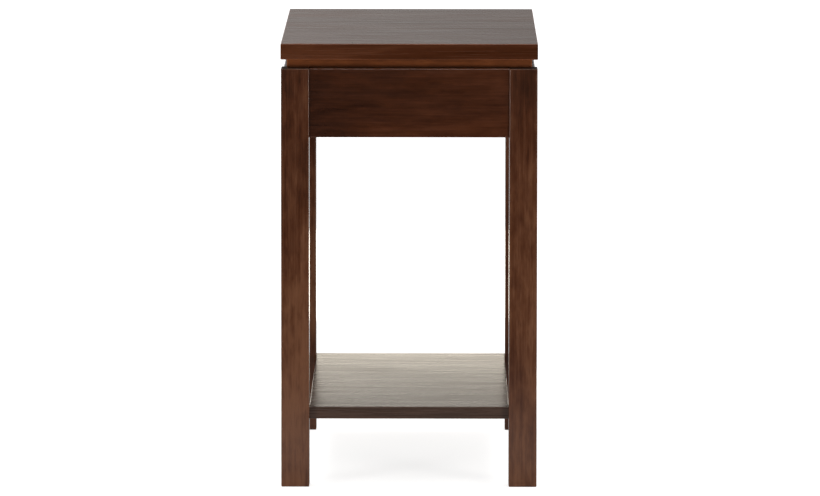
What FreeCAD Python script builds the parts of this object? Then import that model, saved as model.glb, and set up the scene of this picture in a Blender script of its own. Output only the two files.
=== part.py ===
import FreeCAD, Part
import os
import re
import Sketcher

from FreeCAD import Placement, Rotation, Vector

# A chairside table of solid wood: four square legs, four aprons, a low shelf and a thick top
# that floats over the base on recessed strips. Millimetres, +Z up, front towards -Y, and the
# origin on the floor under the middle of the table. The table is the same left and right, and
# front and back, so the front and left pieces are drawn and the others are their mirror images.

SIZES = {
    # The base, measured over the legs
    "base_width": 355.6,
    "base_depth": 609.6,
    # Top
    "top_thickness": 22.2,
    "top_overhang": 0.4,
    "top_edge_radius": 1.5,
    # Strips that make the shadow gap under the top
    "reveal_height": 12.7,
    "reveal_side_recess": 7.3,
    "reveal_front_recess": 35.0,
    "spacer_width": 40.0,
    "spacer_corner_bevel": 1.6,
    # Legs
    "leg_length": 584.2,
    "leg_section": 39,
    "leg_edge_radius": 1.2,
    "leg_end_bevel": 0.8,
    # Aprons
    "apron_height": 95.6,
    "apron_thickness": 19.0,
    "apron_recess": 3.2,
    "apron_edge_radius": 1.2,
    # Stub tenons on the aprons, and their mortises
    "tenon_thickness": 9.5,
    "tenon_length": 16.0,
    "tenon_shoulder": 9.5,
    "mortise_clearance": 0.1,
    "mortise_spare_depth": 1.0,
    # Shelf
    "shelf_underside": 94.4,
    "shelf_thickness": 17.0,
    "shelf_recess": 12.7,
    "shelf_edge_radius": 1.0,
    # Loose tenons between the shelf and the legs
    "loose_tenon_width": 16.0,
    "loose_tenon_thickness": 7.0,
    "loose_tenon_length": 32.0,
    # Corner blocks, with a thin ear along each apron
    "block_height": 25.0,
    "block_board": 25.0,
    "block_leg_gap": 2.0,
    "block_ear_thickness": 8.0,
    "block_ear_length": 24.0,
    # Screws through the ears into the aprons
    "block_screw_diameter": 4.0,
    "block_screw_length": 22.0,
    # Screws up through the corner blocks and the strips into the top
    "top_screw_diameter": 4.5,
    "top_screw_length": 55.0,
    # What both kinds of screw share, as shares of their diameter, and the fit of holes
    "head_width_share": 1.9,
    "head_height_share": 0.6,
    "recess_width_share": 0.26,
    "recess_span_share": 1.0,
    "recess_depth_share": 0.35,
    "shank_clearance": 0.3,
    "pilot_clearance": 0.05,
    "hole_spare_depth": 0.5,
    # Glides let into the feet
    "glide_diameter": 19.0,
    "glide_thickness": 3.0,
    "glide_stand": 0.5,
    "glide_clearance": 0.3,
}

# Places worked out from the sizes
LEFT = "(-base_width / 2)"
FRONT = "(-base_depth / 2)"
LEG_TOP = "(glide_stand + leg_length)"
TOP_UNDERSIDE = f"({LEG_TOP} + reveal_height)"
FRONT_SPAN = "(base_width - 2 * leg_section)"
SIDE_SPAN = "(base_depth - 2 * leg_section)"
APRON_INSIDE = "(apron_recess + apron_thickness)"
LEG_PAST_APRON = f"(leg_section - {APRON_INSIDE})"
TENON_INSET = "((apron_thickness - tenon_thickness) / 2)"
SHELF_MIDDLE = "(shelf_underside + shelf_thickness / 2)"
SHELF_JOINT_INSET = "((leg_section + shelf_recess) / 2)"
BLOCK_START = f"(2 * {LEG_PAST_APRON} + block_leg_gap * 2 ^ 0.5)"
BLOCK_END = f"({BLOCK_START} + block_board * 2 ^ 0.5)"
BLOCK_MIDDLE = f"(({BLOCK_START} + {BLOCK_END}) / 4)"
BLOCK_EAR_START = f"({BLOCK_END} - block_ear_length)"
BLOCK_SCREW_PLACE = f"({BLOCK_END} - block_ear_length / 2)"
TOP_SCREW_INSET = f"({APRON_INSIDE} + {BLOCK_MIDDLE})"

X_AXIS = Vector(1, 0, 0)
Y_AXIS = Vector(0, 1, 0)
Z_AXIS = Vector(0, 0, 1)

doc = FreeCAD.newDocument("ChairsideTable")
sheet = doc.addObject("Spreadsheet::Sheet", "Sizes")
for row, (alias, size) in enumerate(SIZES.items(), 1):
    sheet.set(f"A{row}", alias.replace("_", " "))
    sheet.set(f"B{row}", str(size))
    sheet.setAlias(f"B{row}", alias)
doc.recompute()
pieces = []


def bind(thing, prop, formula):
    """Ties a property to a formula written in the sheet's names."""
    thing.setExpression(prop, re.sub(r"([a-z][a-z_]*)", r"Sizes.\1", formula))


def place(thing, x=None, y=None, z=None, turn=None):
    """Turns a sub-part and ties where it stands to formulas."""
    if turn:
        thing.Placement = Placement(Vector(0, 0, 0), turn)
    for axis, formula in (("x", x), ("y", y), ("z", z)):
        if formula:
            bind(thing, f"Placement.Base.{axis}", formula)


def new_body(label):
    body = doc.addObject("PartDesign::Body", label)
    body.Label = label
    return body


def new_sketch(body, name, role="XY_Plane", offset=None):
    """A sketch on one of the body's own planes, moved along that plane's normal."""
    sketch = body.newObject("Sketcher::SketchObject", f"{body.Label}_{name}")
    sketch.AttachmentSupport = [
        (feature, "") for feature in body.Origin.OriginFeatures if feature.Role == role
    ]
    sketch.MapMode = "FlatFace"
    if offset:
        bind(sketch, "AttachmentOffset.Base.z", offset)
    return sketch


def fix_point(sketch, geometry, point, start, x, y):
    """Holds a point of a sketch at two formulas, measured from the sketch's origin."""
    for kind, now, formula in (("DistanceX", start.x, x), ("DistanceY", start.y, y)):
        constraint = sketch.addConstraint(Sketcher.Constraint(kind, -1, 1, geometry, point, now))
        bind(sketch, f"Constraints[{constraint}]", formula)


def draw_outline(sketch, corners):
    """Draws a closed outline of straight lines through corners given as formulas."""
    count = len(corners)
    # A first draft on a parabola can't cross itself, and the constraints then move it
    starts = [Vector(place, place * place, 0) for place in range(1, count + 1)]
    ends = starts[1:] + starts[:1]
    first = sketch.GeometryCount
    for start, end in zip(starts, ends):
        sketch.addGeometry(Part.LineSegment(start, end))
    for index in range(count):
        following = first + (index + 1) % count
        sketch.addConstraint(Sketcher.Constraint("Coincident", first + index, 2, following, 1))
    for index, (x, y) in enumerate(corners):
        fix_point(sketch, first + index, 1, starts[index], x, y)


def draw_rectangle(sketch, x_low, x_high, y_low, y_high):
    draw_outline(sketch, [(x_low, y_low), (x_high, y_low), (x_high, y_high), (x_low, y_high)])


def draw_shelf_mortise(sketch, x, y):
    half_width = "(loose_tenon_width / 2 + mortise_clearance)"
    half_height = "(loose_tenon_thickness / 2 + mortise_clearance)"
    spread = (f"{x} - {half_width}", f"{x} + {half_width}", f"{y} - {half_height}", f"{y} + {half_height}")
    draw_rectangle(sketch, *spread)


def draw_circle(sketch, x, y, diameter):
    start = X_AXIS + Y_AXIS
    circle = sketch.addGeometry(Part.Circle(start, Z_AXIS, 1))
    fix_point(sketch, circle, 3, start, x, y)
    constraint = sketch.addConstraint(Sketcher.Constraint("Diameter", circle, 1))
    bind(sketch, f"Constraints[{constraint}]", diameter)


def pad(body, sketch, length, midplane=False):
    feature = body.newObject("PartDesign::Pad", sketch.Name + "_pad")
    feature.Profile = sketch
    feature.Midplane = midplane
    bind(feature, "Length", length)
    doc.recompute()
    return feature


def pocket(body, sketch, depth=None, reverse=False):
    """Cuts a sketch into a body, against the sketch's normal, or along it if reversed."""
    before = body.Shape.Volume
    feature = body.newObject("PartDesign::Pocket", sketch.Name + "_cut")
    feature.Profile = sketch
    feature.Reversed = reverse
    if depth:
        bind(feature, "Length", depth)
    else:
        feature.Type = "ThroughAll"
    doc.recompute()
    if body.Shape.Volume >= before:
        raise ValueError(f"{feature.Name} cuts nothing")


def drill(body, name, centres, diameter, depth=None, role="XY_Plane", offset=None, reverse=False):
    """Drills round holes of one size, starting from one of the body's planes."""
    sketch = new_sketch(body, name, role, offset)
    for x, y in centres:
        draw_circle(sketch, x, y, diameter)
    pocket(body, sketch, depth, reverse)


def turned(body, profile):
    """Revolves a profile of radii and heights about the body's Z axis."""
    sketch = new_sketch(body, "profile", "XZ_Plane")
    draw_outline(sketch, profile)
    feature = body.newObject("PartDesign::Revolution", sketch.Name + "_turned")
    feature.Profile = sketch
    feature.ReferenceAxis = (sketch, ["V_Axis"])
    feature.Angle = 360
    doc.recompute()


def round_edges(body, feature, radius, is_chosen):
    """Rounds those edges of a feature that pass a test."""
    fillet = body.newObject("PartDesign::Fillet", feature.Name + "_rounded")
    edges = enumerate(feature.Shape.Edges, 1)
    fillet.Base = (feature, [f"Edge{number}" for number, edge in edges if is_chosen(edge)])
    bind(fillet, "Radius", radius)
    doc.recompute()
    return fillet


def bevel_ends(body, feature, size):
    """Bevels a post all round its foot and its head."""
    chamfer = body.newObject("PartDesign::Chamfer", feature.Name + "_bevelled")
    edges = enumerate(feature.Shape.Edges, 1)
    chamfer.Base = (feature, [f"Edge{number}" for number, edge in edges if lies_level(edge)])
    bind(chamfer, "Size", size)
    doc.recompute()


def runs_along_x(edge):
    box = edge.BoundBox
    return box.XLength > max(box.YLength, box.ZLength)


def lies_level(edge):
    box = edge.BoundBox
    return box.ZLength < max(box.XLength, box.YLength)


def stands_upright(edge):
    return not lies_level(edge)


def mirror(source, label, normal):
    """The mirror image of a sub-part across a plane through the middle of the table."""
    image = doc.addObject("Part::Mirroring", label)
    image.Label = label
    image.Source = source
    image.Base = Vector(0, 0, 0)
    image.Normal = normal
    return image


def group(things, label):
    """Several separate solids as one sub-part."""
    compound = doc.addObject("Part::Compound", label)
    compound.Label = label
    compound.Links = things
    return compound


def four_ways(x, y):
    """A place and its mirror images across both axes of a sketch."""
    return [(f"{side} * {x}", f"{end} * {y}") for side in ("-1", "1") for end in ("-1", "1")]


def keep_corners(front_left, name):
    """Keeps a corner piece and its mirror images at the other three corners."""
    front_right = mirror(front_left, f"{name}_front_right", X_AXIS)
    back_left = mirror(front_left, f"{name}_back_left", Y_AXIS)
    back_right = mirror(front_right, f"{name}_back_right", Y_AXIS)
    pieces.extend([front_left, front_right, back_left, back_right])


def keep_sides(front, left, name):
    """Keeps a front and a left piece and their mirror images at the back and right."""
    back = mirror(front, f"{name}_back", Y_AXIS)
    right = mirror(left, f"{name}_right", X_AXIS)
    pieces.extend([front, back, left, right])


def keep_fasteners(things, label):
    """Keeps the fasteners of the front left corner and their mirror images as one group."""
    corner = group(things, f"{label}_front_left")
    front = group([corner, mirror(corner, f"{label}_front_right", X_AXIS)], f"{label}_front")
    back = mirror(front, f"{label}_back", Y_AXIS)
    pieces.append(group([front, back], label))


def make_top():
    """The thick solid top, with pilot holes in its underside."""
    body = new_body("top_panel")
    half_width = "(base_width / 2 + top_overhang)"
    half_depth = "(base_depth / 2 + top_overhang)"
    outline = new_sketch(body, "outline")
    draw_rectangle(outline, f"-{half_width}", half_width, f"-{half_depth}", half_depth)
    slab = pad(body, outline, "top_thickness")
    round_edges(body, slab, "top_edge_radius", lies_level)
    drill(
        body,
        "screw_pilots",
        four_ways(f"({LEFT} + {TOP_SCREW_INSET})", f"({FRONT} + {TOP_SCREW_INSET})"),
        "(top_screw_diameter + 2 * pilot_clearance)",
        "(top_screw_length - block_height - reveal_height + hole_spare_depth)",
        reverse=True,
    )
    place(body, z=TOP_UNDERSIDE)
    pieces.append(body)


def make_spacer(label, length):
    """One mitred strip of the frame under the top, from the middle of its outer edge."""
    body = new_body(label)
    end = f"({length} / 2)"
    outline = new_sketch(body, "outline")
    draw_outline(
        outline,
        [
            (f"-({end} - spacer_corner_bevel)", "0"),
            (f"{end} - spacer_corner_bevel", "0"),
            (f"{end} - spacer_corner_bevel / 2", "spacer_corner_bevel / 2"),
            (f"{end} - spacer_width", "spacer_width"),
            (f"-({end} - spacer_width)", "spacer_width"),
            (f"-({end} - spacer_corner_bevel / 2)", "spacer_corner_bevel / 2"),
        ],
    )
    pad(body, outline, "reveal_height")
    return body


def make_spacers():
    """The four strips, of which the front and back ones let the top's screws through."""
    front = make_spacer("spacer_front", "(base_width - 2 * reveal_side_recess)")
    screw_x = f"({LEFT} + {TOP_SCREW_INSET})"
    screw_y = f"({TOP_SCREW_INSET} - reveal_front_recess)"
    centres = [(screw_x, screw_y), (f"-{screw_x}", screw_y)]
    drill(front, "screw_holes", centres, "(top_screw_diameter + 2 * shank_clearance)", reverse=True)
    place(front, y=f"{FRONT} + reveal_front_recess", z=LEG_TOP)
    left = make_spacer("spacer_left", "(base_depth - 2 * reveal_front_recess)")
    place(left, x=f"{LEFT} + reveal_side_recess", z=LEG_TOP, turn=Rotation(Z_AXIS, -90))
    keep_sides(front, left, "spacer")


def make_legs():
    """A square leg from its outer bottom corner, with two mortises and its holes."""
    body = new_body("leg_front_left")
    section = new_sketch(body, "section")
    draw_rectangle(section, "0", "leg_section", "0", "leg_section")
    post = pad(body, section, "leg_length")
    rounded = round_edges(body, post, "leg_edge_radius", stands_upright)
    bevel_ends(body, rounded, "leg_end_bevel")
    mortise = (
        f"apron_recess + {TENON_INSET} - mortise_clearance",
        f"apron_recess + {TENON_INSET} + tenon_thickness + mortise_clearance",
        "leg_length - apron_height + tenon_shoulder - mortise_clearance",
        "leg_length - tenon_shoulder + mortise_clearance",
    )
    depth = "tenon_length + mortise_spare_depth"
    for_front = new_sketch(body, "front_apron_mortise", "YZ_Plane", "leg_section")
    draw_rectangle(for_front, *mortise)
    pocket(body, for_front, depth)
    for_side = new_sketch(body, "side_apron_mortise", "XZ_Plane", "-leg_section")
    draw_rectangle(for_side, *mortise)
    pocket(body, for_side, depth, reverse=True)
    for_shelf = new_sketch(body, "shelf_mortise", "YZ_Plane", "leg_section")
    draw_shelf_mortise(for_shelf, SHELF_JOINT_INSET, f"({SHELF_MIDDLE} - glide_stand)")
    pocket(body, for_shelf, "loose_tenon_length / 2 + mortise_spare_depth")
    drill(
        body,
        "glide_recess",
        [("leg_section / 2", "leg_section / 2")],
        "(glide_diameter + 2 * glide_clearance)",
        "(glide_thickness - glide_stand)",
        reverse=True,
    )
    place(body, x=LEFT, y=FRONT, z="glide_stand")
    keep_corners(body, "leg")


def make_apron(label, span):
    """An apron with a stub tenon at each end, from the top middle of its outer face."""
    body = new_body(label)
    section = new_sketch(body, "section", "YZ_Plane")
    draw_rectangle(section, "0", "apron_thickness", "-apron_height", "0")
    board = pad(body, section, span, midplane=True)
    round_edges(body, board, "apron_edge_radius", runs_along_x)
    tenon = new_sketch(body, "tenon", "YZ_Plane")
    draw_rectangle(
        tenon,
        TENON_INSET,
        f"{TENON_INSET} + tenon_thickness",
        "-(apron_height - tenon_shoulder)",
        "-tenon_shoulder",
    )
    pad(body, tenon, f"({span} + 2 * tenon_length)", midplane=True)
    screw_place = f"({span} / 2 + {LEG_PAST_APRON} - {BLOCK_SCREW_PLACE})"
    drill(
        body,
        "screw_pilots",
        [(f"-{screw_place}", "-block_height / 2"), (screw_place, "-block_height / 2")],
        "(block_screw_diameter + 2 * pilot_clearance)",
        "(block_screw_length - block_ear_thickness + hole_spare_depth)",
        "XZ_Plane",
        "-apron_thickness",
        reverse=True,
    )
    return body


def make_aprons():
    front = make_apron("apron_front", FRONT_SPAN)
    place(front, y=f"{FRONT} + apron_recess", z=LEG_TOP)
    left = make_apron("apron_left", SIDE_SPAN)
    place(left, x=f"{LEFT} + apron_recess", z=LEG_TOP, turn=Rotation(Z_AXIS, -90))
    keep_sides(front, left, "apron")


def make_corner_blocks():
    """A block across the inside corner of two aprons, from that corner, with an ear on each."""
    body = new_body("corner_block_front_left")
    outline = new_sketch(body, "outline", offset="-block_height")
    front_half = [
        (BLOCK_START, "0"),
        (BLOCK_END, "0"),
        (BLOCK_END, "block_ear_thickness"),
        (BLOCK_EAR_START, "block_ear_thickness"),
        (BLOCK_EAR_START, "block_ear_length"),
    ]
    draw_outline(outline, front_half + [(y, x) for x, y in reversed(front_half)])
    pad(body, outline, "block_height")
    hole = "(block_screw_diameter + 2 * shank_clearance)"
    centres = [(BLOCK_SCREW_PLACE, "-block_height / 2")]
    drill(body, "front_hole", centres, hole, None, "XZ_Plane", "-block_ear_thickness", reverse=True)
    drill(body, "side_hole", centres, hole, None, "YZ_Plane", "block_ear_thickness")
    middle = [(BLOCK_MIDDLE, BLOCK_MIDDLE)]
    drill(body, "top_screw_hole", middle, "(top_screw_diameter + 2 * shank_clearance)")
    place(body, x=f"{LEFT} + {APRON_INSIDE}", y=f"{FRONT} + {APRON_INSIDE}", z=LEG_TOP)
    keep_corners(body, "corner_block")


def make_screw(label, diameter, length):
    """A blunt, round-headed furniture screw with a cross recess, from the seat of its head."""
    body = new_body(label)
    head_radius = f"({diameter} * head_width_share / 2)"
    head_height = f"({diameter} * head_height_share)"
    turned(
        body,
        [
            ("0", f"-{head_height}"),
            (head_radius, f"-{head_height}"),
            (head_radius, "0"),
            (f"{diameter} / 2", "0"),
            (f"{diameter} / 2", length),
            ("0", length),
        ],
    )
    recess = new_sketch(body, "recess", offset=f"-{head_height}")
    near, far = (f"{diameter} * {share} / 2" for share in ("recess_width_share", "recess_span_share"))
    cross = [(far, near), (near, near), (near, far)]
    cross += [(f"-{x}", y) for x, y in reversed(cross)]
    cross += [(x, f"-{y}") for x, y in reversed(cross)]
    draw_outline(recess, cross)
    pocket(body, recess, f"{diameter} * recess_depth_share", reverse=True)
    return body


def make_block_screws():
    """Two screws in each corner block, one into each of its aprons."""
    screws = [make_screw(f"block_screw_{side}", "block_screw_diameter", "block_screw_length")
              for side in ("front", "side")]
    seat = f"({APRON_INSIDE} + block_ear_thickness)"
    along = f"({APRON_INSIDE} + {BLOCK_SCREW_PLACE})"
    height = f"{LEG_TOP} - block_height / 2"
    place(screws[0], f"{LEFT} + {along}", f"{FRONT} + {seat}", height, Rotation(Z_AXIS, -Y_AXIS))
    place(screws[1], f"{LEFT} + {seat}", f"{FRONT} + {along}", height, Rotation(Z_AXIS, -X_AXIS))
    keep_fasteners(screws, "corner_block_screws")


def make_top_screws():
    """One screw in each corner block, up through the strips into the top."""
    screw = make_screw("top_screw", "top_screw_diameter", "top_screw_length")
    seat = f"{LEG_TOP} - block_height"
    place(screw, f"{LEFT} + {TOP_SCREW_INSET}", f"{FRONT} + {TOP_SCREW_INSET}", seat)
    keep_fasteners([screw], "top_screws")


def make_shelf():
    """The low shelf between the legs, from the middle of its underside."""
    body = new_body("shelf_panel")
    half_width = f"({FRONT_SPAN} / 2)"
    half_depth = "(base_depth / 2 - shelf_recess)"
    outline = new_sketch(body, "outline")
    draw_rectangle(outline, f"-{half_width}", half_width, f"-{half_depth}", half_depth)
    board = pad(body, outline, "shelf_thickness")
    round_edges(body, board, "shelf_edge_radius", lies_level)
    joint_y = f"(base_depth / 2 - {SHELF_JOINT_INSET})"
    for side, offset in (("left", f"-{half_width}"), ("right", half_width)):
        mortises = new_sketch(body, f"{side}_mortises", "YZ_Plane", offset)
        draw_shelf_mortise(mortises, f"-{joint_y}", "shelf_thickness / 2")
        draw_shelf_mortise(mortises, joint_y, "shelf_thickness / 2")
        pocket(body, mortises, "loose_tenon_length / 2 + mortise_spare_depth", reverse=side == "left")
    place(body, z="shelf_underside")
    pieces.append(body)


def make_shelf_tenons():
    """A loose tenon between each leg and the shelf, drawn about its middle."""
    body = new_body("shelf_tenon")
    section = new_sketch(body, "section", "YZ_Plane")
    half_width = "loose_tenon_width / 2"
    half_height = "loose_tenon_thickness / 2"
    draw_rectangle(section, f"-{half_width}", half_width, f"-{half_height}", half_height)
    pad(body, section, "loose_tenon_length", midplane=True)
    place(body, f"{LEFT} + leg_section", f"{FRONT} + {SHELF_JOINT_INSET}", SHELF_MIDDLE)
    keep_fasteners([body], "shelf_tenons")


def make_glides():
    """A disc let into the foot of each leg, which stands just proud of it."""
    body = new_body("glide_front_left")
    section = new_sketch(body, "section")
    draw_circle(section, "0", "0", "glide_diameter")
    pad(body, section, "glide_thickness")
    place(body, f"{LEFT} + leg_section / 2", f"{FRONT} + leg_section / 2")
    keep_corners(body, "glide")


def write_pieces():
    """Checks the whole document, then writes each sub-part to its own file."""
    doc.recompute()
    failed = [thing.Name for thing in doc.Objects if {"Invalid", "Error"} & set(thing.State)]
    if failed:
        raise ValueError("failed: " + ", ".join(failed))
    for piece in pieces:
        if piece.Shape.isNull() or not piece.Shape.isValid():
            raise ValueError(f"{piece.Label} is not a valid solid")
    os.makedirs("parts", exist_ok=True)
    for piece in pieces:
        Part.makeCompound(piece.Shape.Solids).exportStep(f"parts/{piece.Label}.step")


make_top()
make_spacers()
make_legs()
make_aprons()
make_corner_blocks()
make_block_screws()
make_top_screws()
make_shelf()
make_shelf_tenons()
make_glides()
write_pieces()
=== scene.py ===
import math

import bmesh
import bpy
from mathutils import Matrix, Vector


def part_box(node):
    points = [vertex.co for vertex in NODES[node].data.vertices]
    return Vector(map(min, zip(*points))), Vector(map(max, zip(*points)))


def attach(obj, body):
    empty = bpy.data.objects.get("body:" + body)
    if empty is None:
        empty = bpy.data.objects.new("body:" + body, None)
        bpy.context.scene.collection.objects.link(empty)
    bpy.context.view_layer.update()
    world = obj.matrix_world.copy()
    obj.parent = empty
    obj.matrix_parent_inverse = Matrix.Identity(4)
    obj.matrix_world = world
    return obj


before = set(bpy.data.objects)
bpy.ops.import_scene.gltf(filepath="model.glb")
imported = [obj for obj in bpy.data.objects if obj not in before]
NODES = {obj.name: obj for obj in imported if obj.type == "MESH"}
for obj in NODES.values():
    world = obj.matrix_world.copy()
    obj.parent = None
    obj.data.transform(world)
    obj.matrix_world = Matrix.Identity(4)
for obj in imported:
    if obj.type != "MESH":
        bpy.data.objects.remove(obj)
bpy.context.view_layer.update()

CORNERS = ("front_left", "front_right", "back_left", "back_right")
SIDE_GRAINS = {"front": "x", "back": "x", "left": "y", "right": "y"}


# Shader nodes

class Graph:
    """A node tree and a few short ways to add to it."""

    def __init__(self, tree):
        self.tree = tree
        self.tree.nodes.clear()

    def node(self, kind, inputs=(), **settings):
        node = self.tree.nodes.new(kind)
        for name, value in settings.items():
            setattr(node, name, value)
        for name, value in dict(inputs).items():
            if isinstance(value, bpy.types.NodeSocket):
                self.tree.links.new(value, node.inputs[name])
            else:
                node.inputs[name].default_value = value
        return node

    def math(self, operation, a, b=0.0):
        return self.node("ShaderNodeMath", {0: a, 1: b}, operation=operation).outputs[0]

    def total(self, *values):
        result = values[0]
        for value in values[1:]:
            result = self.math("ADD", result, value)
        return result

    def vector(self, operation, a, b=(0, 0, 0), output="Vector"):
        return self.node("ShaderNodeVectorMath", {0: a, 1: b}, operation=operation).outputs[output]

    def axes(self, vector):
        return self.node("ShaderNodeSeparateXYZ", {0: vector}).outputs

    def spread(self, value, low, high, to_low=0.0, to_high=1.0):
        """Maps low..high of a value smoothly to another range."""
        inputs = {"Value": value, "From Min": low, "From Max": high, "To Min": to_low, "To Max": to_high}
        return self.node("ShaderNodeMapRange", inputs, interpolation_type="SMOOTHSTEP").outputs[0]

    def noise(self, vector, stretch, scale, detail=2.0, roughness=0.5, distortion=0.0):
        inputs = {"Vector": self.vector("MULTIPLY", vector, stretch), "Scale": scale, "Detail": detail,
                  "Roughness": roughness, "Distortion": distortion}
        return self.node("ShaderNodeTexNoise", inputs).outputs[0]

    def ramp(self, value, stops):
        node = self.node("ShaderNodeValToRGB", {"Fac": value})
        elements = node.color_ramp.elements
        while len(elements) < len(stops):
            elements.new(0.5)
        for element, (place, colour) in zip(elements, stops):
            element.position = place
            element.color = (*colour, 1)
        return node.outputs[0]

    def blend(self, factor, a, b, mode="MIX"):
        node = self.node("ShaderNodeMix", {0: factor}, data_type="RGBA", blend_type=mode)
        for socket, value in ((node.inputs[6], a), (node.inputs[7], b)):
            if isinstance(value, bpy.types.NodeSocket):
                self.tree.links.new(value, socket)
            else:
                socket.default_value = (*value, 1)
        return node.outputs[2]

    def finish(self, inputs):
        shader = self.node("ShaderNodeBsdfPrincipled", inputs)
        self.surface("ShaderNodeOutputMaterial", shader)

    def surface(self, kind, shader):
        self.tree.links.new(shader.outputs[0], self.node(kind).inputs["Surface"])


def new_material(name):
    material = bpy.data.materials.new(name)
    material.use_nodes = True
    return material, Graph(material.node_tree)


# Wood

ARRIS_RADIUS = 0.0009
TONE_SPAN = 0.28
PORE_SHADE = 0.80
END_GRAIN_SHADE = (0.55, 0.55, 0.55)
END_GRAIN_ROUGHNESS = 0.3
# How far the lightened arrises go past the lightest tone: rubbed stain and painted highlight
RUB_AND_HIGHLIGHT_GAIN = 2.2


def along(grain, length):
    """A scale for each axis: one along the grain, and 1 across it."""
    return tuple(length if axis == grain else 1.0 for axis in "xyz")


def cut_from(graph, point, seed, boards):
    """The place in the noise that a piece is cut from, and a tone for each of its boards."""
    shift = Vector((seed * 0.731, seed * 0.417 + 1.3, seed * 0.259 - 0.7))
    place = graph.vector("ADD", point, shift)
    if not boards:
        return place, 0.5
    axis, width = boards
    across = graph.axes(point)[axis]
    number = graph.math("FLOOR", graph.math("DIVIDE", graph.math("ADD", across, 10.0), width))
    random = graph.node("ShaderNodeTexWhiteNoise", {"W": number}, noise_dimensions="1D")
    jump = graph.node("ShaderNodeVectorMath", {0: random.outputs["Color"], "Scale": 3.0}, operation="SCALE")
    return graph.vector("ADD", place, jump.outputs[0]), random.outputs["Value"]


def wood(name, grain, colours, seed, roughness=0.2, specular=0.36, relief=0.0002, blotch=0.5, boards=None,
         fade=None, rub_and_highlight_amount=0.5, streak=1.0):
    """Stained and lacquered hardwood, whose grain runs along one axis of the table.

    colours are the tones from the darkest stain to the lightest, and seed chooses the place in
    the noise that the piece is cut from. relief is the depth of the grain in metres and blotch
    how patchy the stain is. boards is the axis across the boards that a panel is glued up from
    and their width. fade is an axis, two places on it and how far the colour is darker or lighter
    at each: the stain's own tone on the aprons and the top, partly painted shade and light on the
    legs, and painted shade on the strips. wear is how far the arrises are lightened, partly as
    stain rubbed thin and partly as a painted highlight along them, and a streak below 1 draws the
    patches out along the grain.
    """
    material, graph = new_material(name)
    point = graph.node("ShaderNodeTexCoord").outputs["Object"]
    place, board_tone = cut_from(graph, point, seed, boards)

    patches = graph.noise(place, along(grain, 0.50 * streak), 19.0, 3.0, 0.55, 0.4)
    clouds = graph.noise(place, along(grain, 0.45 * streak), 52.0, 3.0, 0.6, 0.3)
    mottle = graph.noise(place, along(grain, 0.30 * streak), 150.0, 2.0, 0.5, 0.3)
    figure = graph.noise(place, along(grain, 0.035), 210.0, 3.0, 0.6, 0.1)
    fibre = graph.noise(place, along(grain, 0.022), 700.0, 3.0, 0.65)
    flecks = graph.noise(place, along(grain, 0.05), 1500.0, 1.0, 0.5)

    shares = ((patches, blotch), (clouds, 0.34), (mottle, 0.24), (figure, 0.30), (fibre, 0.20), (board_tone, 0.06))
    mixed = graph.total(*[graph.math("MULTIPLY", value, share) for value, share in shares])
    # On the legs this is partly painted shade and light, and on the strips painted shade; on the aprons and the
    # top it is the stain's tone
    if fade:
        axis, start, end, at_start, at_end = fade
        mixed = graph.math("ADD", mixed, graph.spread(graph.axes(point)[axis], start, end, at_start, at_end))
    middle = 0.5 * sum(share for _, share in shares)
    level = graph.spread(mixed, middle - TONE_SPAN, middle + TONE_SPAN)
    last = len(colours) - 1
    colour = graph.ramp(level, [(index / last, tint) for index, tint in enumerate(colours)])
    pores = graph.spread(flecks, 0.30, 0.42, PORE_SHADE, 1.0)
    pore_shade = graph.node("ShaderNodeCombineXYZ", {0: pores, 1: pores, 2: pores}).outputs[0]
    colour = graph.blend(1.0, colour, pore_shade, "MULTIPLY")

    # The arrises are lightened where the rounded normal leaves all three axes: partly stain rubbed thin, partly a
    # painted highlight along them
    rounded = graph.node("ShaderNodeBevel", {"Radius": ARRIS_RADIUS}, samples=4).outputs[0]
    turned = graph.axes(graph.vector("ABSOLUTE", rounded))
    square = graph.math("MAXIMUM", graph.math("MAXIMUM", turned["X"], turned["Y"]), turned["Z"])
    rub_and_highlight = graph.math("MULTIPLY", graph.spread(square, 0.995, 0.86, 0.0, rub_and_highlight_amount),
                      graph.spread(clouds, 0.3, 0.6, 0.5, 1.0))
    colour = graph.blend(rub_and_highlight, colour, tuple(min(1, RUB_AND_HIGHLIGHT_GAIN * c) for c in colours[-1]))
    # End grain drinks in more stain and stays duller
    ends = graph.spread(turned[grain.upper()], 0.80, 0.97)
    colour = graph.blend(ends, colour, graph.blend(1.0, colour, END_GRAIN_SHADE, "MULTIPLY"))

    gloss = graph.total(graph.spread(fibre, 0.2, 0.8, -0.04, 0.04), graph.spread(clouds, 0.2, 0.8, -0.025, 0.025),
                        graph.spread(figure, 0.2, 0.8, -0.03, 0.03))
    rough = graph.math("ADD", gloss, graph.spread(ends, 0.0, 1.0, roughness, roughness + END_GRAIN_ROUGHNESS))
    height = graph.total(graph.math("MULTIPLY", fibre, 0.5), graph.math("MULTIPLY", pores, 0.35),
                         graph.math("MULTIPLY", figure, 0.4))
    bumped = graph.node("ShaderNodeBump", {"Strength": 0.35, "Distance": relief, "Height": height,
                                           "Normal": rounded}).outputs[0]
    graph.finish({"Base Color": colour, "Roughness": rough, "Normal": bumped, "Specular IOR Level": specular})
    return material


# Metal and plastic

def metal():
    """Dull zinc plating on small screws."""
    material, graph = new_material("screw_steel")
    point = graph.node("ShaderNodeTexCoord").outputs["Object"]
    cloud = graph.noise(point, (1, 1, 1), 500.0, 3.0, 0.6)
    colour = graph.ramp(cloud, [(0.25, (0.36, 0.34, 0.30)), (0.5, (0.56, 0.54, 0.50)), (0.8, (0.68, 0.66, 0.60))])
    rough = graph.spread(cloud, 0.2, 0.8, 0.30, 0.48)
    bumped = graph.node("ShaderNodeBump", {"Strength": 0.2, "Distance": 0.0001, "Height": cloud}).outputs[0]
    graph.finish({"Base Color": colour, "Roughness": rough, "Normal": bumped, "Metallic": 1.0})
    return material


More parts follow.
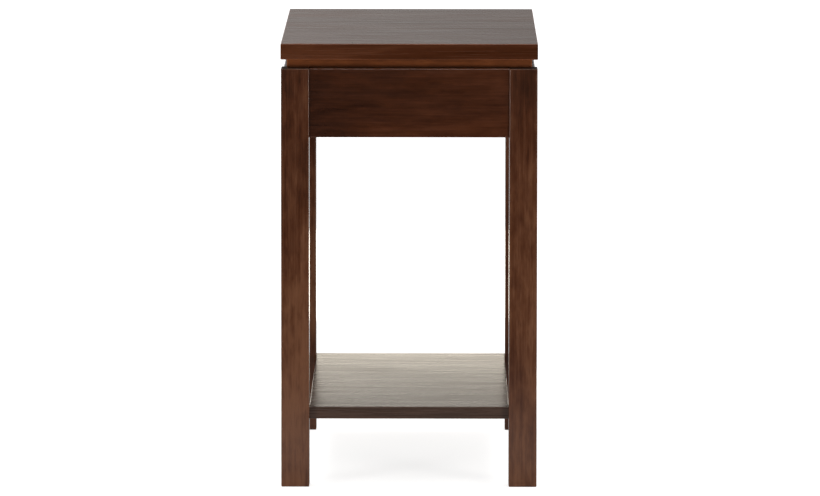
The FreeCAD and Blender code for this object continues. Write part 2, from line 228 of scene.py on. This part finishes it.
def nylon():
    """Moulded off-white nylon, scuffed where it meets the floor."""
    material, graph = new_material("glide_nylon")
    point = graph.node("ShaderNodeTexCoord").outputs["Object"]
    scuff = graph.noise(point, (1, 1, 0.4), 260.0, 4.0, 0.65, 0.4)
    colour = graph.ramp(scuff, [(0.3, (0.42, 0.38, 0.32)), (0.48, (0.62, 0.58, 0.50)), (0.8, (0.70, 0.66, 0.58))])
    rough = graph.spread(scuff, 0.3, 0.7, 0.62, 0.45)
    bumped = graph.node("ShaderNodeBump", {"Strength": 0.3, "Distance": 0.0001, "Height": scuff}).outputs[0]
    graph.finish({"Base Color": colour, "Roughness": rough, "Normal": bumped, "Subsurface Weight": 0.1})
    return material


# Finishes

LEG_TONES = [(0.026, 0.0082, 0.0034), (0.054, 0.0160, 0.0058), (0.086, 0.0300, 0.0125), (0.132, 0.0530, 0.0245)]
APRON_TONES = [(0.018, 0.0052, 0.0020), (0.033, 0.0090, 0.0029), (0.047, 0.0126, 0.0038), (0.070, 0.0200, 0.0068)]
TOP_TONES = [(0.030, 0.0078, 0.0018), (0.044, 0.0112, 0.0028), (0.056, 0.0152, 0.0048), (0.080, 0.0245, 0.0095)]
STRIP_TONES = [(0.085, 0.0235, 0.0065), (0.125, 0.0355, 0.0100), (0.165, 0.0470, 0.0135), (0.215, 0.068, 0.022)]
SHELF_TONES = [(0.026, 0.0132, 0.0082), (0.040, 0.0206, 0.0130), (0.054, 0.0282, 0.0184), (0.075, 0.041, 0.027)]
BLOCK_TONES = [(0.022, 0.011, 0.007), (0.038, 0.019, 0.012), (0.055, 0.028, 0.017), (0.080, 0.042, 0.026)]
BEECH_TONES = [(0.45, 0.28, 0.15), (0.56, 0.38, 0.22), (0.64, 0.46, 0.29), (0.70, 0.53, 0.35)]

LEG_SEEDS = {"front_left": 3, "front_right": 12.6, "back_left": 5, "back_right": 6}
APRON_SEEDS = {"front": 1.9, "back": 12, "left": 13, "right": 14}
STRIP_SEEDS = {"front": 21, "back": 22, "left": 23, "right": 24}
BLOCK_SEEDS = {"front_left": 31, "front_right": 32, "back_left": 33, "back_right": 34}

# Each leg is darker near the top and lighter towards the foot, save the back right one: partly painted shade under
# the top and painted light where the floor lights the foot, partly that leg's own stain patches
LEG_SHADE_AND_STAIN_FADES = {"front_left": ("Z", 0.58, 0.15, -0.07, 0.14), "front_right": ("Z", 0.56, 0.34, -0.13, 0.08),
             "back_left": ("Z", 0.60, 0.10, -0.04, 0.06), "back_right": ("Z", 0.60, 0.10, 0.02, -0.04)}
END_APRON_FADE = ("X", -0.15, 0.03, -0.11, 0.06)
# The strips are darker towards their foot, deep in the slot above the aprons: painted shade
STRIP_PAINTED_SHADE_FADE = ("Z", 0.5845, 0.5885, -0.22, 0.0)
TOP_FADE = ("X", -0.18, 0.02, 0.11, 0.0)

# Planed wood under the dark stain alone, inside the aprons
BARE = {"roughness": 0.62, "specular": 0.2, "rub_and_highlight_amount": 0.0}


def paint(nodes, material):
    for name in nodes:
        slots = NODES[name].data.materials
        slots.clear()
        slots.append(material)


for corner in CORNERS:
    paint([f"leg_{corner}"], wood(f"leg_wood_{corner}", "z", LEG_TONES, LEG_SEEDS[corner], fade=LEG_SHADE_AND_STAIN_FADES[corner],
                                  rub_and_highlight_amount=0.25, streak=0.8))
    paint([f"corner_block_{corner}"], wood(f"block_wood_{corner}", "x", BLOCK_TONES, BLOCK_SEEDS[corner], **BARE))
for side, grain in SIDE_GRAINS.items():
    paint([f"apron_{side}"], wood(f"apron_wood_{side}", grain, APRON_TONES, APRON_SEEDS[side], blotch=0.6,
                                  fade=END_APRON_FADE if grain == "x" else None, streak=0.6))
    paint([f"spacer_{side}"], wood(f"strip_wood_{side}", grain, STRIP_TONES, STRIP_SEEDS[side], roughness=0.5,
                                   specular=0.08, blotch=0.3, fade=STRIP_PAINTED_SHADE_FADE))
# On the top the arrises are lightened fully, which paints the highlight along its lower front edge as well as
# rubbed stain
paint(["top_panel"], wood("top_wood", "x", TOP_TONES, 17, roughness=0.26, specular=0.16, relief=0.00002,
                          boards=("Y", 0.0763), fade=TOP_FADE, rub_and_highlight_amount=1.0, streak=0.25))
paint(["shelf_panel"], wood("shelf_wood", "x", SHELF_TONES, 19, roughness=0.28, specular=0.3, relief=0.000012,
                            boards=("Y", 0.0649), streak=0.22))
paint(["shelf_tenons"], wood("tenon_wood", "x", BEECH_TONES, 41, roughness=0.6, specular=0.2))
paint(["corner_block_screws", "top_screws"], metal())
paint([f"glide_{corner}" for corner in CORNERS], nylon())


# Battens that carry the strips inside the end aprons and close the slot to the floor's light

EAR_THICKNESS = 0.008
EAR_LENGTH = 0.024
LEDGE_WIDTH = 0.026
LEDGE_HEIGHT = 0.012
LEDGE_CLEARANCE = 0.0001
LEDGE_BEVEL = 0.0003
LEDGE_SEED = 37


def make_ledge(side, inward):
    """A batten along the inside of an end apron, stepped round the ears of the corner blocks."""
    apron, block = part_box(f"apron_{side}"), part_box(f"corner_block_{side}_right")
    face = apron[1][1] if inward > 0 else apron[0][1]
    near, past_ear, far = (face + inward * depth for depth in
                           (LEDGE_CLEARANCE, EAR_THICKNESS + LEDGE_CLEARANCE, LEDGE_WIDTH))
    ear_end = block[0][0] - LEDGE_CLEARANCE
    ear_start = ear_end + EAR_LENGTH
    half = [(ear_end, near), (ear_end, past_ear), (ear_start, past_ear), (ear_start, far)]
    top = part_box(f"spacer_{side}")[0][2]

    shape = bmesh.new()
    outline = [shape.verts.new((x, y, top)) for x, y in half + [(-x, y) for x, y in reversed(half)]]
    extruded = bmesh.ops.extrude_face_region(shape, geom=[shape.faces.new(outline)])
    lower = [item for item in extruded["geom"] if isinstance(item, bmesh.types.BMVert)]
    bmesh.ops.translate(shape, verts=lower, vec=(0, 0, -LEDGE_HEIGHT))
    bmesh.ops.recalc_face_normals(shape, faces=shape.faces)
    mesh = bpy.data.meshes.new(f"strip_ledge_{side}")
    shape.to_mesh(mesh)
    shape.free()
    mesh.materials.append(wood(f"ledge_wood_{side}", "x", BLOCK_TONES, LEDGE_SEED, **BARE))
    ledge = bpy.data.objects.new(f"strip_ledge_{side}", mesh)
    bpy.context.scene.collection.objects.link(ledge)
    bevel = ledge.modifiers.new("arrises", "BEVEL")
    bevel.width = LEDGE_BEVEL
    bevel.segments = 2
    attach(ledge, "root")


make_ledge("front", 1)
make_ledge("back", -1)


# Floor and surroundings

FLOOR_RADIUS = 30
FLOOR_CORNERS = 96
WHITE = (1, 1, 1)
WARM_WHITE = (1, 0.94, 0.86)
FLOOR_COLOUR = (0.86, 0.86, 0.86)
ROOM_COLOUR = (1, 0.985, 0.965, 1)
ROOM_LIGHT = 0.30


def background_rays(graph):
    """1 for rays that see the background directly or through glass, and 1 for those that mirror it."""
    path = graph.node("ShaderNodeLightPath").outputs
    seen = graph.math("MAXIMUM", path["Is Camera Ray"], path["Is Transmission Ray"])
    return seen, path["Is Glossy Ray"]


def make_floor():
    """A white floor that keeps the table's shadow.

    Its mirror image is dimmer close to the table, and in front of it except well to the sides.
    """
    mesh = bpy.data.meshes.new("floor")
    angles = [math.tau * i / FLOOR_CORNERS for i in range(FLOOR_CORNERS)]
    rim = [(FLOOR_RADIUS * math.cos(angle), FLOOR_RADIUS * math.sin(angle), 0) for angle in angles]
    mesh.from_pydata(rim, [], [list(range(FLOOR_CORNERS))])
    floor = bpy.data.objects.new("floor", mesh)
    bpy.context.scene.collection.objects.link(floor)
    material, graph = new_material("floor_white")
    point = graph.node("ShaderNodeTexCoord").outputs["Object"]
    away = graph.vector("LENGTH", point, output="Value")
    from_behind = graph.vector("DISTANCE", point, (0, 2.4, 0), output="Value")
    aside = graph.math("ABSOLUTE", graph.axes(point)["X"])
    seen, mirrored = background_rays(graph)
    lift = graph.math("MULTIPLY", seen, graph.spread(away, 0.6, 3.0, 0.77, 1.0))
    sheen = graph.math("MAXIMUM", graph.spread(from_behind, 2.9, 4.3, 1.0, 0.05), graph.spread(aside, 1.4, 2.6))
    sheen = graph.math("MULTIPLY", sheen, graph.spread(away, 0.3, 0.8, 0.45, 1.0))
    sheen = graph.math("MULTIPLY", mirrored, sheen)
    glow = graph.node("ShaderNodeEmission", {"Color": (*WHITE, 1), "Strength": graph.math("ADD", lift, sheen)})
    base = graph.node("ShaderNodeBsdfDiffuse", {"Color": graph.blend(mirrored, FLOOR_COLOUR, (0, 0, 0))})
    both = graph.node("ShaderNodeAddShader", {0: base.outputs[0], 1: glow.outputs[0]})
    graph.surface("ShaderNodeOutputMaterial", both)
    mesh.materials.append(material)


def make_world():
    """A white background, and a room whose mirror image is brightest low down behind the table.

    It dims upwards, to the right and on the camera's side, and is nowhere above 1.
    """
    world = bpy.data.worlds.new("studio")
    world.use_nodes = True
    graph = Graph(world.node_tree)
    way = graph.axes(graph.node("ShaderNodeTexCoord").outputs["Generated"])
    seen, mirrored = background_rays(graph)
    rise = graph.math("MULTIPLY", graph.spread(way["Z"], 0.02, 0.08, 1.0, 0.57),
                      graph.spread(way["Z"], 0.08, 0.14, 1.0, 0.50))
    front = graph.spread(way["Y"], -0.7, 0.1, 0.08, 1.0)
    side = graph.spread(way["X"], -0.04, 0.04, 1.36, 0.90)
    level = graph.math("MULTIPLY", side, graph.math("MULTIPLY", rise, front))
    mirror_level = graph.math("MULTIPLY", mirrored, graph.math("MINIMUM", level, 1.0))
    warm = graph.math("MULTIPLY", mirrored, graph.spread(way["Z"], 0.09, 0.13))
    room = graph.node("ShaderNodeBackground", {"Color": ROOM_COLOUR, "Strength": ROOM_LIGHT})
    white = graph.node("ShaderNodeBackground", {"Color": graph.blend(warm, WHITE, WARM_WHITE),
                                                "Strength": graph.math("MAXIMUM", seen, mirror_level)})
    shown = graph.math("MAXIMUM", seen, mirrored)
    mixed = graph.node("ShaderNodeMixShader", {0: shown, 1: room.outputs[0], 2: white.outputs[0]})
    graph.surface("ShaderNodeOutputWorld", mixed)
    bpy.context.scene.world = world


def soft_lamp(name, position, target, width, height, watts, colour=WHITE, lit=True):
    """An area lamp, or where it isn't lit, a white card that only the gloss shows."""
    lamp = bpy.data.lights.new(name, "AREA")
    lamp.shape = "RECTANGLE"
    lamp.size = width
    lamp.size_y = height
    lamp.energy = watts
    lamp.color = colour
    holder = bpy.data.objects.new(name, lamp)
    holder.location = position
    holder.rotation_mode = "QUATERNION"
    holder.rotation_quaternion = (Vector(target) - Vector(position)).to_track_quat("-Z", "Y")
    holder.visible_camera = False
    holder.visible_diffuse = lit
    bpy.context.scene.collection.objects.link(holder)


make_floor()
make_world()
soft_lamp("lamp_left", (-2.7, -3.4, 0.62), (0, 0, 0.3), 1.2, 0.9, 58)
soft_lamp("lamp_right", (2.7, -3.4, 0.62), (0, 0, 0.3), 1.2, 0.9, 64, (1, 0.97, 0.93))
soft_lamp("lamp_high_front", (0.0, -2.4, 2.9), (0, 0, 0.3), 1.6, 0.7, 5)
soft_lamp("lamp_above", (0.0, 0.5, 2.6), (0, 0, 0.3), 2.0, 2.0, 28)
soft_lamp("lamp_low_behind", (0.0, 0.95, 0.15), (0, 0, 0.12), 1.5, 0.14, 2.15, (1, 0.90, 0.74))
soft_lamp("card_high_front", (0.0, -1.3, 2.6), (0, -0.3, 0.6), 2.6, 1.1, 72, lit=False)


# Camera, as fitted to the edges in the photograph

CAMERA_PLACE = (0.03881, -9.91571, 1.43098)
CAMERA_TURN = (0.2239, 6.5034, 0.0514)
SENSOR_WIDTH = 36.0
FOCAL_LENGTH = 306.07


def make_camera():
    data = bpy.data.cameras.new("camera")
    data.sensor_width = SENSOR_WIDTH
    data.lens = FOCAL_LENGTH
    data.clip_start = 0.1
    data.clip_end = 100.0
    camera = bpy.data.objects.new("camera", data)
    bpy.context.scene.collection.objects.link(camera)
    yaw, pitch, roll = (math.radians(angle) for angle in CAMERA_TURN)
    ahead = Vector((-math.sin(yaw) * math.cos(pitch), math.cos(yaw) * math.cos(pitch), -math.sin(pitch)))
    level = Vector((math.cos(yaw), math.sin(yaw), 0))
    upward = level.cross(ahead)
    right = level * math.cos(roll) + upward * math.sin(roll)
    up = upward * math.cos(roll) - level * math.sin(roll)
    turn = Matrix((right, up, -ahead)).transposed().to_4x4()
    camera.matrix_world = Matrix.Translation(CAMERA_PLACE) @ turn
    bpy.context.scene.camera = camera


make_camera()
bpy.context.scene.view_settings.view_transform = "Standard"
